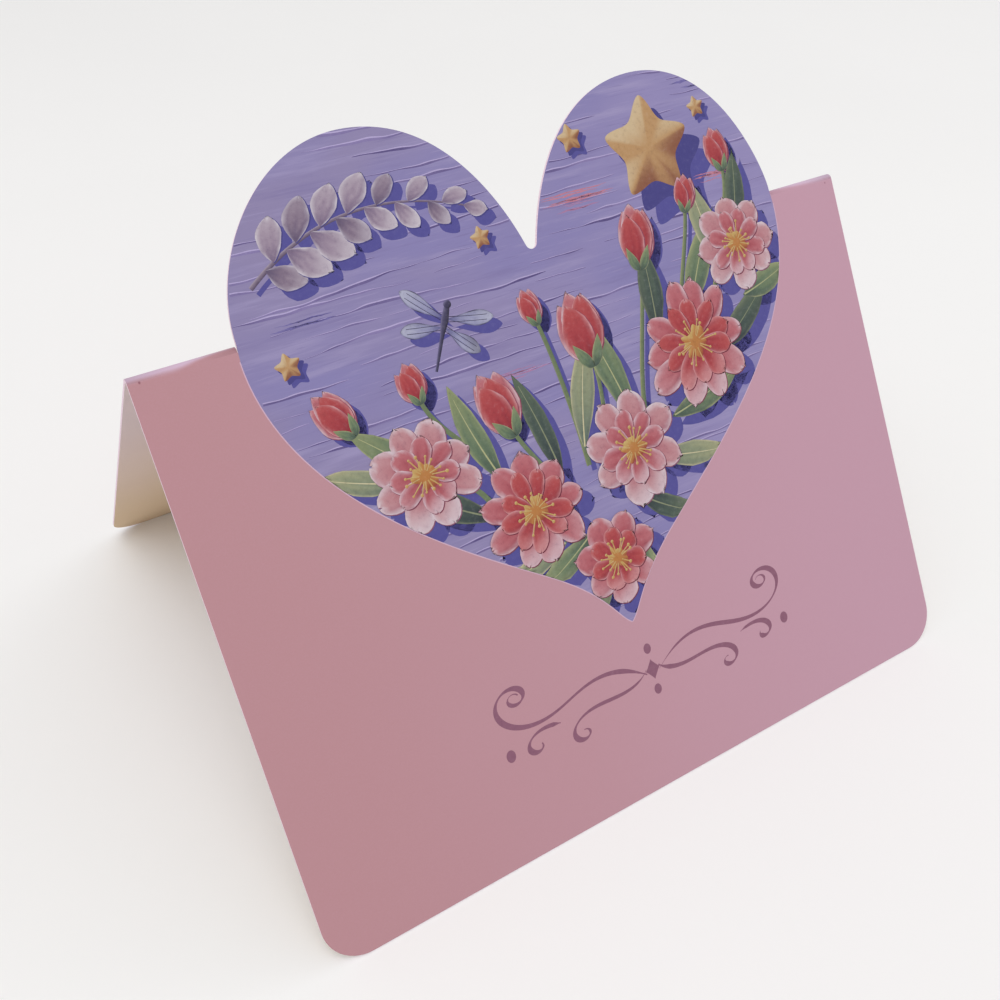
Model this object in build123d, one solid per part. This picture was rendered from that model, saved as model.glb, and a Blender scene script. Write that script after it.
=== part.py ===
from build123d import *
from dataclasses import dataclass
import math
import os

# Greeting card that stands as a tent. One sheet of card is creased across its middle.
# The upper part of a heart is cut free of the back panel, and stays flat with the front
# panel when the card is folded, so that it stands up over the fold.
#
# Millimetres, +Z up. X runs along the fold, and the front panel faces -Y. The origin is on
# the table, below the middle of the fold.

# The flat sheet
sheet_width = 100.0  # along the fold
front_height = 70.0  # from the front bottom edge to the middle of the crease
back_height = 70.0  # from the middle of the crease to the back bottom edge
card_thickness = 0.4
corner_radius = 5.0  # the four corners that the card stands on

# The fold
opening_angle = 72.0  # between the two panels, in degrees
fold_inner_radius = 0.3

# The heart. Heights are above the middle of the crease, on the flat sheet.
notch_from_middle = 0.45
notch_height = 1.5  # of the bottom of its rounding
notch_radius = 0.8
notch_side_angle = 71.0  # where its sides leave the rounding, above the fold, in degrees
die_cut_gap = 0.12  # between the heart and the card that it was cut from
right_shoulder = 38.5  # from the middle to where the lobe leaves the fold
left_shoulder = 37.9


@dataclass
class Lobe:
    """One rounded top of the heart, with the lengths of the curve handles that round it."""

    side: int  # 1 for the right lobe, and -1 for the left
    shoulder_from_middle: float  # where the lobe leaves the fold
    top_from_middle: float
    top_height: float
    notch_handle: float
    inner_handle: float
    outer_handle: float
    shoulder_handle: float


right_lobe = Lobe(1, right_shoulder, 20.9, 19.1, 3.3, 13.8, 13.5, 3.0)
left_lobe = Lobe(-1, left_shoulder, 19.65, 19.7, 1.0, 14.9, 10.3, 8.8)

# Worked out from the sizes above
half_angle = opening_angle / 2
fold_outer_radius = fold_inner_radius + card_thickness
bend_turn = 180.0 - opening_angle
bend_length = math.radians(bend_turn) * (fold_inner_radius + card_thickness / 2)
front_flat = front_height - bend_length / 2
back_flat = back_height - bend_length / 2

lean = Vector(0, math.sin(math.radians(half_angle)), math.cos(math.radians(half_angle)))
front_normal = Vector(0, -lean.Z, lean.Y)
back_normal = Vector(0, lean.Z, lean.Y)

# Each panel's outer face, with its local origin where the bend begins and local Y up the panel
front_plane = Plane(origin=front_normal * fold_outer_radius, x_dir=(1, 0, 0), z_dir=front_normal)
back_plane = Plane(origin=back_normal * fold_outer_radius, x_dir=(-1, 0, 0), z_dir=back_normal)


def panel_outline(flat_height):
    """A panel from its bottom edge up to the bend, with rounded bottom corners."""
    blank = Pos(0, -flat_height / 2) * Rectangle(sheet_width, flat_height)
    bottom_corners = blank.vertices().group_by(Axis.Y)[0]
    return fillet(bottom_corners, corner_radius)


def lobe_face(lobe, gap):
    """One lobe from the notch out to its shoulder, and down square across the bend, grown by a gap."""
    out = Vector(lobe.side, 0)
    bend_start = -bend_length / 2
    top = out * lobe.top_from_middle + Vector(0, lobe.top_height + gap)
    shoulder = out * (lobe.shoulder_from_middle + gap) + Vector(0, bend_length / 2)
    foot = out * (lobe.shoulder_from_middle + gap) + Vector(0, bend_start)
    notch_foot = Vector(notch_from_middle, bend_start)

    # Half of the notch's rounding, which turns from level to the slope of the lobe's inner side
    centre = Vector(notch_from_middle, notch_height + notch_radius)
    angle = math.radians(notch_side_angle)
    rounding = [
        centre + (out * math.sin(turn) - Vector(0, math.cos(turn))) * (notch_radius - gap)
        for turn in (0.0, angle / 2, angle)
    ]
    notch = rounding[0]
    half_notch = ThreePointArc(*rounding)
    slope = out * math.cos(angle) + Vector(0, math.sin(angle))
    from_notch = rounding[2] + slope * lobe.notch_handle
    inner_side = Bezier(rounding[2], from_notch, top - out * (lobe.inner_handle + gap), top)
    outer_side = Bezier(top, top + out * lobe.outer_handle, shoulder + Vector(0, lobe.shoulder_handle), shoulder)
    square_cut = Line(shoulder, foot)
    bottom = [Line(foot, notch_foot), Line(notch_foot, notch)]
    return make_face([half_notch, inner_side, outer_side, square_cut, *bottom])


def heart_crest(gap=0.0):
    """The part of the heart above the bend, two lobes with a notch between them, grown by a gap.

    The cut runs square across the bend, so the lobes' curves begin where the bend ends.
    """
    whole = lobe_face(right_lobe, gap) + lobe_face(left_lobe, gap)
    return Pos(0, bend_length / 2) * whole


def front_panel():
    """The front panel and the heart's crest, in one plane."""
    outline = panel_outline(front_flat) + heart_crest()
    return front_plane * extrude(outline, amount=-card_thickness)


def back_panel():
    """The back panel, with the opening that the heart's crest was cut from."""
    # Turned over the crease, the crest points down this panel
    opening = Pos(0, bend_length) * mirror(heart_crest(die_cut_gap), about=Plane.XZ)
    outline = panel_outline(back_flat) - opening
    return back_plane * extrude(outline, amount=-card_thickness)


def crease_strip(lobe):
    """The bent card between a lobe's shoulder and the sheet's side edge, a tube wall of the bend's angle."""
    inner_end = lobe.shoulder_from_middle + die_cut_gap
    strip_length = sheet_width / 2 - inner_end
    outer_arc = CenterArc((0, 0), fold_outer_radius, half_angle, bend_turn)
    inner_arc = CenterArc((0, 0), fold_inner_radius, half_angle, bend_turn)
    section = make_face(
        [outer_arc, inner_arc, Line(outer_arc @ 0, inner_arc @ 0), Line(outer_arc @ 1, inner_arc @ 1)]
    )
    strip = Pos(inner_end, 0, 0) * extrude(Plane.YZ * section, amount=strip_length)
    return strip if lobe.side > 0 else mirror(strip, about=Plane.YZ)


def folded_card():
    """The whole sheet, standing on its two bottom edges."""
    card = front_panel() + back_panel() + crease_strip(right_lobe) + crease_strip(left_lobe)
    return Pos(0, 0, -card.bounding_box().min.Z) * card


os.makedirs("parts", exist_ok=True)
card = folded_card()
print("solids", len(card.solids()), "volume", round(card.volume, 2), "box", card.bounding_box())
export_step(card, "parts/folded_card.step")
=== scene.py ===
"""A small folded greeting card that stands as a tent, with a printed heart that stands up over its fold.

The card is one sheet, rebuilt here as smooth surfaces in the place of its CAD solid. The picture on the
heart and the mark below it are thin films of ink that lie on the front panel. Positions on the front panel
are given as u, along the fold from its middle, and v, up the panel from its bottom edge. Lengths are in
metres, but for the sizes and places of the print's motifs, which are in millimetres.
"""

import logging
import math
from dataclasses import dataclass, field
from enum import Enum

import bpy
import numpy as np
from mathutils import Matrix, Vector


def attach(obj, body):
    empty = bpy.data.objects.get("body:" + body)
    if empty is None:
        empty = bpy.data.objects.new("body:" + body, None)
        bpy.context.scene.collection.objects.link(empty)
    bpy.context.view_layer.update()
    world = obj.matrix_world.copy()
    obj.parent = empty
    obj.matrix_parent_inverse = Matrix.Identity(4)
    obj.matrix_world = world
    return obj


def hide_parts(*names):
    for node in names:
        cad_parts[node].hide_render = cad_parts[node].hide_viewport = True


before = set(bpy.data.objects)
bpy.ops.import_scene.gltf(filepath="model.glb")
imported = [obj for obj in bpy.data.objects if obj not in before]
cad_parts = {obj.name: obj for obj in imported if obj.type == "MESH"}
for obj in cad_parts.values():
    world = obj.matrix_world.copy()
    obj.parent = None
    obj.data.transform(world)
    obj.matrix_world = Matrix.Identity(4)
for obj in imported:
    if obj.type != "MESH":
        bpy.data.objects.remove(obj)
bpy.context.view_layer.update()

MM = 0.001
MICRON = 1e-6
BODY = "root"
CARD_NODE = "folded_card"
PRINT_UV = "Print"
INK = "ink"
SEED = 7

log = logging.getLogger("greeting_card")


def linear(red: float, green: float, blue: float) -> np.ndarray:
    """Turns a display colour into the linear colour that a shader takes.

    The display value is undone by its own curve: straight near black, and a power of 2.4 above that.

    Args:
        red: Display red, from 0 to 255.
        green: Display green, from 0 to 255.
        blue: Display blue, from 0 to 255.

    Returns:
        Three linear values from 0 to 1.
    """
    shown = np.array([red, green, blue], float) / 255
    return np.where(shown <= 0.04045, shown / 12.92, ((shown + 0.055) / 1.055) ** 2.4)


def smooth_step(low: float, high: float, value: np.ndarray) -> np.ndarray:
    """Rises from 0 at low to 1 at high along a cubic with flat ends.

    Args:
        low: Where the rise starts.
        high: Where the rise ends.
        value: The numbers to map.

    Returns:
        Numbers from 0 to 1, in the shape of value.
    """
    share = np.clip((value - low) / (high - low), 0, 1)
    return share * share * (3 - 2 * share)


def blended(first: np.ndarray, second: np.ndarray, share: np.ndarray) -> np.ndarray:
    """Mixes two colours, or two fields of colour, by a share for each point.

    Args:
        first: The colour where share is 0.
        second: The colour where share is 1.
        share: The share of the second colour at each point.

    Returns:
        A colour for each point of share.
    """
    part = np.clip(share, 0, 1)[..., None]
    return first * (1 - part) + second * part


def wander(places: np.ndarray, rng: np.random.Generator, waves: int = 6, finest: float = 9.0) -> np.ndarray:
    """A smooth random line: a sum of sines whose height falls as they get finer.

    Args:
        places: Where to read the line, counted in its longest wave.
        rng: Where the phases and heights come from.
        waves: How many sines are added.
        finest: How many times finer the last sine is than the first.

    Returns:
        Values that mostly lie between -1 and 1.
    """
    fineness = np.geomspace(1, finest, waves)
    phases = rng.uniform(0, 2 * math.pi, waves)
    heights = rng.uniform(0.6, 1.0, waves) / fineness**0.7
    angles = 2 * math.pi * fineness * np.asarray(places)[..., None] + phases
    return (heights * np.sin(angles)).sum(-1) / heights.sum() * 1.6


def bezier(controls: np.ndarray, count: int) -> np.ndarray:
    """Points on a cubic curve with four control points, by the usual cubic weights.

    Args:
        controls: The four control points.
        count: How many points, the two ends among them.

    Returns:
        An array of count points.
    """
    along = np.linspace(0, 1, count)[:, None]
    rest = 1 - along
    weights = np.hstack([rest**3, 3 * rest**2 * along, 3 * rest * along**2, along**3])
    return weights @ np.asarray(controls, float)


@dataclass(frozen=True)
class Sheet:
    """The sizes of the folded sheet, and the map from the flat sheet to the standing card."""

    width: float = 100 * MM
    panel_height: float = 70 * MM
    thickness: float = 0.4 * MM
    corner_radius: float = 5 * MM
    opening_angle: float = math.radians(72)
    fold_inner_radius: float = 0.3 * MM

    @property
    def half_angle(self) -> float:
        """The angle between each panel and the upright."""
        return self.opening_angle / 2

    @property
    def fold_radius(self) -> float:
        """The bend's radius on the outside of the card."""
        return self.fold_inner_radius + self.thickness

    @property
    def bend_length(self) -> float:
        """The length of card that the bend takes up, along the middle of its thickness."""
        return (math.pi - self.opening_angle) * (self.fold_inner_radius + self.thickness / 2)

    @property
    def flat_height(self) -> float:
        """A panel's height from its bottom edge to where the bend begins."""
        return self.panel_height - self.bend_length / 2

    @property
    def bend_centre(self) -> float:
        """The height of the bend's centre line over the table, with the inner bottom edges on it."""
        lean, upright = math.sin(self.half_angle), math.cos(self.half_angle)
        return self.flat_height * upright - self.fold_inner_radius * lean

    def on_panel(self, u: np.ndarray, v: np.ndarray, lift: np.ndarray, side: int = -1) -> np.ndarray:
        """Places flat positions on a panel: out from the bend along its normal, and down its slope.

        Args:
            u: Along the fold.
            v: Up the panel from its bottom edge.
            lift: How far out from the panel's outer face.
            side: -1 for the front panel, and 1 for the back.

        Returns:
            Points, with the last axis holding x, y and z.
        """
        lean, upright = math.sin(self.half_angle), math.cos(self.half_angle)
        out = self.fold_radius + lift
        up = v - self.flat_height
        y = side * (out * upright - up * lean)
        z = self.bend_centre + out * lean + up * upright
        return np.stack(np.broadcast_arrays(u, y, z), -1)

    def on_bend(self, u: np.ndarray, turn: np.ndarray, lift: np.ndarray) -> np.ndarray:
        """Places positions on the bend: a circle about the bend's centre line, carried along the fold.

        Args:
            u: Along the fold.
            turn: 0 where the front panel ends, and 1 where the back panel begins.
            lift: How far out from the outer face.

        Returns:
            Points, with the last axis holding x, y and z.
        """
        angle = math.pi - self.half_angle - turn * (math.pi - self.opening_angle)
        out = self.fold_radius + lift
        y = out * np.cos(angle)
        z = self.bend_centre + out * np.sin(angle)
        return np.stack(np.broadcast_arrays(u, y, z), -1)


@dataclass(frozen=True)
class Lobe:
    """One rounded top of the heart: where it leaves the fold, its highest place, and its handles."""

    side: int
    shoulder: float
    top: tuple[float, float]
    notch_handle: float
    inner_handle: float
    outer_handle: float
    shoulder_handle: float


@dataclass(frozen=True)
class Flank:
    """One printed lower side of the heart: how far out it starts and turns, with a handle at each place."""

    side: int
    start: float
    start_handle: float
    turn: float
    turn_handle: float


@dataclass(frozen=True)
class Heart:
    """The heart's outline: from the notch over a lobe and down a flank. Heights count from the fold."""

    fold: float = 70 * MM
    notch: tuple[float, float] = (0.45 * MM, 1.5 * MM)
    notch_radius: float = 0.8 * MM
    notch_angle: float = math.radians(71)
    right: Lobe = Lobe(1, 38.5 * MM, (20.9 * MM, 19.1 * MM), 3.3 * MM, 13.8 * MM, 13.5 * MM, 3.0 * MM)
    left: Lobe = Lobe(-1, 37.9 * MM, (19.65 * MM, 19.7 * MM), 1.0 * MM, 14.9 * MM, 10.3 * MM, 8.8 * MM)
    right_flank: Flank = Flank(1, 38.65 * MM, 16.4 * MM, 9.5 * MM, 16.4 * MM)
    left_flank: Flank = Flank(-1, 38.05 * MM, 17.0 * MM, 9.2 * MM, 11.5 * MM)
    flank_start: float = -1.5 * MM
    flank_turn: float = -37.65 * MM
    flank_turn_angle: float = math.radians(36)
    point_side_handle: float = 8.6 * MM
    point: float = -47.2 * MM
    point_handle: tuple[float, float] = (1.8 * MM, 1.3 * MM)
    hub: float = -12 * MM
    notch_steps: int = 9
    lobe_steps: int = 48
    flank_steps: int = 40

    def lobe_side(self, lobe: Lobe, shoulder: float, gap: float) -> np.ndarray:
        """A lobe from its shoulder over its top to the notch: two cubic curves, and then an arc.

        Args:
            lobe: Which lobe.
            shoulder: The height over the fold where its curve begins.
            gap: How far the outline is grown.

        Returns:
            Points of u and height over the fold.
        """
        flip = np.array([lobe.side, 1])
        out = np.array([lobe.side, 0])
        top = flip * lobe.top + [0, gap]
        side = flip * [lobe.shoulder + gap, shoulder]
        turn = np.linspace(self.notch_angle, 0, self.notch_steps)
        centre = np.array(self.notch) + [0, self.notch_radius]
        arc = centre + np.stack([lobe.side * np.sin(turn), -np.cos(turn)], -1) * (self.notch_radius - gap)
        slope = flip * [math.cos(self.notch_angle), math.sin(self.notch_angle)]
        outer = [side, side + [0, lobe.shoulder_handle], top + out * lobe.outer_handle, top]
        inner = [top, top - out * (lobe.inner_handle + gap), arc[0] + slope * lobe.notch_handle, arc[0]]
        return np.vstack([bezier(outer, self.lobe_steps), bezier(inner, self.lobe_steps)[1:], arc[1:]])

    def crest(self, shoulder: float, gap: float = 0.0) -> np.ndarray:
        """Both lobes, from the right shoulder over the notch to the left shoulder.

        Args:
            shoulder: The height over the fold where the lobes' curves begin.
            gap: How far the outline is grown.

        Returns:
            Points of u and height over the fold.
        """
        right, left = self.lobe_side(self.right, shoulder, gap), self.lobe_side(self.left, shoulder, gap)
        return np.vstack([right, left[-2::-1]])

    def flank_side(self, flank: Flank) -> np.ndarray:
        """A flank from the widest place to the point, as two cubic curves that share a tangent.

        Args:
            flank: Which flank.

        Returns:
            Points of u and height over the fold.
        """
        start = np.array([flank.start, self.flank_start])
        turn = np.array([flank.turn, self.flank_turn])
        slope = np.array([math.cos(self.flank_turn_angle), math.sin(self.flank_turn_angle)])
        point = np.array([0, self.point])
        upper = [start, start - [0, flank.start_handle], turn + slope * flank.turn_handle, turn]
        lower = [turn, turn - slope * self.point_side_handle, point + self.point_handle, point]
        half = np.vstack([bezier(upper, self.flank_steps), bezier(lower, self.flank_steps)[1:]])
        return half * [flank.side, 1]

    def whole(self, shoulder: float) -> np.ndarray:
        """The closed outline in panel coordinates, counter-clockwise from the point, with no point twice.

        Args:
            shoulder: The height over the fold where the lobes' curves begin.

        Returns:
            Points of u and v.
        """
        right, left = self.flank_side(self.right_flank)[::-1], self.flank_side(self.left_flank)[:-1]
        return np.vstack([right, self.crest(shoulder), left]) + [0, self.fold]


@dataclass(frozen=True)
class HeartMask:
    """Keeps print inside the heart, by one reach for each angle about a hub that sees the whole outline."""

    hub: np.ndarray
    angles: np.ndarray
    reaches: np.ndarray

    @classmethod
    def of(cls, heart: Heart, shoulder: float) -> "HeartMask":
        """Measures the outline's angle and reach from the hub.

        Args:
            heart: The outline's sizes.
            shoulder: The height over the fold where the lobes' curves begin.

        Returns:
            The mask.
        """
        hub = np.array([0, heart.fold + heart.hub])
        from_hub = heart.whole(shoulder) - hub
        return cls(hub, np.arctan2(from_hub[:, 1], from_hub[:, 0]), np.hypot(*from_hub.T))

    def reach(self, u: np.ndarray, v: np.ndarray) -> tuple[np.ndarray, np.ndarray]:
        """How far each place is from the hub, and how far the outline is from it in the same direction.

        Args:
            u: Along the fold.
            v: Up the panel.

        Returns:
            The two distances.
        """
        across, up = u - self.hub[0], v - self.hub[1]
        most = np.interp(np.arctan2(up, across), self.angles, self.reaches, period=2 * math.pi)
        return np.hypot(across, up), most

    def held(self, u: np.ndarray, v: np.ndarray) -> tuple[np.ndarray, np.ndarray]:
        """Draws what lies past the outline straight back towards the hub, as far as the outline.

        Args:
            u: Along the fold.
            v: Up the panel.

        Returns:
            The new u and v.
        """
        reach, most = self.reach(u, v)
        share = np.minimum(1, most / np.maximum(reach, MICRON))
        return self.hub[0] + (u - self.hub[0]) * share, self.hub[1] + (v - self.hub[1]) * share

    def inside(self, u: np.ndarray, v: np.ndarray) -> np.ndarray:
        """Tells which places lie inside the outline."""
        reach, most = self.reach(u, v)
        return reach <= most


def grid_quads(rows: int, columns: int, closed: bool = False) -> np.ndarray:
    """The faces of a grid whose points run row by row.

    Args:
        rows: Points down the grid.
        columns: Points across it.
        closed: Whether each row's last point joins its first.

    Returns:
        Four point numbers for each face.
    """
    index = np.arange(rows * columns).reshape(rows, columns)
    if closed:
        index = np.hstack([index, index[:, :1]])
    corners = [index[:-1, :-1], index[:-1, 1:], index[1:, 1:], index[1:, :-1]]
    return np.stack(corners, -1).reshape(-1, 4)


def facing(points: np.ndarray, quads: np.ndarray, outward: Vector) -> np.ndarray:
    """Turns the faces round where most of their area looks against a direction.

    Args:
        points: The mesh's points.
        quads: Four point numbers for each face.
        outward: The way that the faces should look.

    Returns:
        The faces, turned or as they were.
    """
    corner = points[quads]
    normal = np.cross(corner[:, 2] - corner[:, 0], corner[:, 3] - corner[:, 1]).sum(0)
    return quads if normal @ np.array(outward) > 0 else quads[:, ::-1]


def new_object(name: str, mesh: bpy.types.Mesh) -> bpy.types.Object:
    """Puts a mesh in the scene as a piece of the card.

    Args:
        name: The piece's name.
        mesh: Its mesh, in place.

    Returns:
        The piece.
    """
    piece = bpy.data.objects.new(name, mesh)
    bpy.context.scene.collection.objects.link(piece)
    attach(piece, BODY)
    log.info("%s: %d faces", name, len(mesh.polygons))
    return piece


class Shader:
    """A short way to write a node tree."""

    def __init__(self, name: str) -> None:
        """Starts an empty material with an output.

        Args:
            name: The material's name.
        """
        self.material = bpy.data.materials.new(name)
        self.material.use_nodes = True
        self.tree = self.material.node_tree
        self.tree.nodes.clear()
        self.output = self.tree.nodes.new("ShaderNodeOutputMaterial")

    def node(self, kind: str, inputs: dict | None = None, **settings: object) -> bpy.types.Node:
        """Adds a node, sets its properties, and sets or links its inputs.

        Args:
            kind: The node's type, without the ShaderNode in front.
            inputs: A value or a socket for each input, by name or number.
            **settings: The node's own properties.

        Returns:
            The node.
        """
        made = self.tree.nodes.new("ShaderNode" + kind)
        for key, value in settings.items():
            setattr(made, key, value)
        for key, value in (inputs or {}).items():
            if isinstance(value, bpy.types.NodeSocket):
                self.tree.links.new(value, made.inputs[key])
            else:
                made.inputs[key].default_value = value
        return made

    def math(self, operation: str, *values: object) -> bpy.types.NodeSocket:
        """One step of arithmetic on numbers or sockets.

        Args:
            operation: Blender's name for the step.
            *values: Its inputs.

        Returns:
            The result's socket.
        """
        return self.node("Math", dict(enumerate(values)), operation=operation).outputs[0]

    def ramp(self, value: bpy.types.NodeSocket, low: float, high: float, to_low: float = 0.0,
             to_high: float = 1.0) -> bpy.types.NodeSocket:
        """Maps a value from one range to another, smoothly and with held ends.

        Args:
            value: The socket to map.
            low: The value that gives to_low.
            high: The value that gives to_high.
            to_low: The result at low.
            to_high: The result at high.

        Returns:
            The result's socket.
        """
        inputs = {"Value": value, "From Min": low, "From Max": high, "To Min": to_low, "To Max": to_high}
        return self.node("MapRange", inputs, interpolation_type="SMOOTHSTEP").outputs[0]

    def mix(self, share: object, first: object, second: object, blend: str = "MIX") -> bpy.types.NodeSocket:
        """Mixes two colours.

        Args:
            share: How much of the second colour, a number or a socket.
            first: The first colour or its socket.
            second: The second colour or its socket.
            blend: Blender's name for the way of mixing.

        Returns:
            The colour's socket.
        """
        inputs = {0: share, 6: self.colour(first), 7: self.colour(second)}
        return self.node("Mix", inputs, data_type="RGBA", blend_type=blend).outputs[2]

    @staticmethod
    def colour(value: object) -> object:
        """A colour with its alpha, or the socket as it is."""
        return value if isinstance(value, bpy.types.NodeSocket) else (*map(float, value), 1.0)

    def noise(self, place: bpy.types.NodeSocket, scale: float, detail: float = 3.0,
              roughness: float = 0.5) -> bpy.types.NodeSocket:
        """Cloudy noise, as a number about a half.

        Args:
            place: The coordinate that it is read at.
            scale: Its features for each unit of that coordinate.
            detail: How many finer layers are added.
            roughness: How strong the finer layers are.

        Returns:
            The noise's socket.
        """
        inputs = {"Vector": place, "Scale": scale, "Detail": detail, "Roughness": roughness}
        return self.node("TexNoise", inputs).outputs[0]

    def stretched(self, place: bpy.types.NodeSocket, scale: tuple[float, float, float],
                  turn: float = 0.0) -> bpy.types.NodeSocket:
        """A coordinate scaled by its axes and turned about its third one.

        Args:
            place: The coordinate.
            scale: The scale along each axis.
            turn: The turn in radians.

        Returns:
            The new coordinate's socket.
        """
        inputs = {"Vector": place, "Rotation": (0, 0, turn), "Scale": scale}
        return self.node("Mapping", inputs).outputs[0]

    def surface(self, colour: bpy.types.NodeSocket, roughness: bpy.types.NodeSocket,
                height: bpy.types.NodeSocket, depth: float, gloss: float) -> bpy.types.Material:
        """Ends the tree in a plain surface with fine relief.

        Args:
            colour: The surface's colour.
            roughness: Its roughness.
            height: Its relief, from 0 to 1.
            depth: How deep the relief is.
            gloss: The specular level.

        Returns:
            The finished material.
        """
        bump = self.node("Bump", {"Height": height, "Distance": depth, "Strength": 1.0})
        inputs = {"Base Color": colour, "Roughness": roughness, "Normal": bump.outputs[0],
                  "Specular IOR Level": gloss}
        body = self.node("BsdfPrincipled", inputs)
        self.tree.links.new(body.outputs[0], self.output.inputs["Surface"])
        return self.material


@dataclass(frozen=True)
class PinkPrint:
    """Pink ink on smooth card with painted shade and light: redder to the left, bluer to the right, and a
    pale band on the fold that is painted highlight over paler stretched ink.
    """

    left: np.ndarray = field(default_factory=lambda: linear(183, 136, 143))
    right: np.ndarray = field(default_factory=lambda: linear(192, 150, 168))
    crease_highlight: np.ndarray = field(default_factory=lambda: linear(206, 181, 205))
    crease_line: float = 0.12 * MM
    crease_reach: tuple[float, float] = (0.28 * MM, 0.84 * MM)
    taper: float = 0.55 * MM
    taper_left: tuple[float, float] = (-45 * MM, -39.5 * MM)
    taper_right: tuple[float, float] = (48 * MM, 37 * MM)
    nick: np.ndarray = field(default_factory=lambda: linear(120, 60, 80))
    nicks: tuple[tuple[float, float, float], ...] = (
        (-48.75 * MM, 69.42 * MM, 0.7),
        (48.65 * MM, 69.15 * MM, 0.5),
    )
    sheet: Sheet = field(default_factory=Sheet)

    def build(self) -> bpy.types.Material:
        """Makes the material: a pink that drifts along the fold as painted shade and light, and a pale band
        along the bend that is painted highlight over paler stretched ink.

        Returns:
            The material.
        """
        s = Shader("pink_print")
        place = s.node("TexCoord").outputs["Object"]
        axes = s.node("SeparateXYZ", {0: place}).outputs
        half = self.sheet.width / 2
        cloud = s.noise(place, 28, 2.0)
        grain = s.noise(place, 5200, 3.0, 0.6)
        tooth = s.noise(s.stretched(place, (1, 1.3, 1.3)), 1500, 4.0, 0.65)
        # Painted shade and light: the pink drifts from a darker, redder left to a lighter, bluer right.
        cloudy = s.math("MULTIPLY_ADD", cloud, 0.4 * half, axes[0])
        pink = s.mix(s.ramp(cloudy, -0.9 * half, 1.2 * half), self.left, self.right)
        pink = s.mix(s.ramp(grain, 0.35, 0.75, 0.0, 0.08), pink, self.right * 1.12)

        # Painted highlight along the crest of the bend, partly the paler stretched ink of the crease:
        # widest at the outer ends, narrower near the heart.
        ragged = s.math("MULTIPLY", s.math("SUBTRACT", s.noise(place, 420, 4.0, 0.6), 0.5), 0.2 * MM)
        taper = s.math("MINIMUM", s.ramp(axes[0], *self.taper_left), s.ramp(axes[0], *self.taper_right))
        taper = s.math("MULTIPLY", taper, self.taper)
        off_line = s.math("ABSOLUTE", s.math("SUBTRACT", axes[1], self.crease_line))
        edge = s.math("ADD", s.math("ADD", off_line, ragged), taper)
        colour = s.mix(s.ramp(edge, *self.crease_reach, 0.85, 0.0), pink, self.crease_highlight)

        for u, v, strength in self.nicks:
            spot = self.sheet.on_panel(u, v, 0.0)
            aside = s.math("SUBTRACT", axes[0], float(spot[0]))
            below = s.math("SUBTRACT", axes[2], float(spot[2]))
            reach = s.math("SQRT", s.math("ADD", s.math("POWER", aside, 2.0), s.math("POWER", below, 2.0)))
            colour = s.mix(s.ramp(reach, 0.05 * MM, 0.17 * MM, strength, 0.0), colour, self.nick)
        rough = s.ramp(tooth, 0.3, 0.7, 0.56, 0.68)
        return s.surface(colour, rough, tooth, 6 * MICRON, 0.35)


@dataclass(frozen=True)
class CreamBoard:
    """The card's unprinted inside: cream with faint fibres, with painted warm shade that makes it tan near
    the table and painted reflected light that makes it greyer near the fold.
    """

    light: np.ndarray = field(default_factory=lambda: linear(235, 216, 207))
    deep: np.ndarray = field(default_factory=lambda: linear(229, 208, 201))
    tan: np.ndarray = field(default_factory=lambda: linear(226, 202, 171))
    dusk: np.ndarray = field(default_factory=lambda: linear(229, 213, 214))
    tan_run: tuple[float, float] = (6 * MM, 38 * MM)
    dusk_run: tuple[float, float] = (30 * MM, 48 * MM)

    def build(self) -> bpy.types.Material:
        """Makes the material: cream clouds crossed by short pale fibres, and a painted tint of light for
        each height.

        Returns:
            The material.
        """
        s = Shader("cream_board")
        place = s.node("TexCoord").outputs["Object"]
        height = s.node("SeparateXYZ", {0: place}).outputs[2]
        cloud = s.noise(place, 60, 3.0)
        fibre = s.noise(s.stretched(place, (0.25, 1, 1), 0.5), 2600, 3.0, 0.6)
        cream = s.mix(s.ramp(cloud, 0.3, 0.7), self.deep, self.light)
        # Painted warm shade: the cream turns tan towards the table.
        cream = s.mix(s.ramp(height, *self.tan_run), self.tan, cream)
        # Painted reflected light: a pinkish grey higher up, towards the fold.
        cream = s.mix(s.ramp(height, *self.dusk_run), cream, self.dusk)
        colour = s.mix(s.ramp(fibre, 0.5, 0.8, 0.0, 0.2), cream, self.light * 1.05)
        return s.surface(colour, s.ramp(fibre, 0.3, 0.7, 0.72, 0.84), fibre, 4 * MICRON, 0.25)


@dataclass(frozen=True)
class CutEdge:
    """The die-cut edge: pale pressed fibres, with a little pink dragged over them."""

    pale: np.ndarray = field(default_factory=lambda: linear(246, 228, 240))
    warm: np.ndarray = field(default_factory=lambda: linear(234, 206, 220))

    def build(self) -> bpy.types.Material:
        """Makes the material: fine layers of fibre in two pale tones.

        Returns:
            The material.
        """
        s = Shader("cut_edge")
        place = s.node("TexCoord").outputs["Object"]
        fibre = s.noise(place, 4200, 4.0, 0.7)
        colour = s.mix(s.ramp(fibre, 0.35, 0.65), self.warm, self.pale)
        return s.surface(colour, s.ramp(fibre, 0.3, 0.7, 0.75, 0.9), fibre, 15 * MICRON, 0.2)


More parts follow.
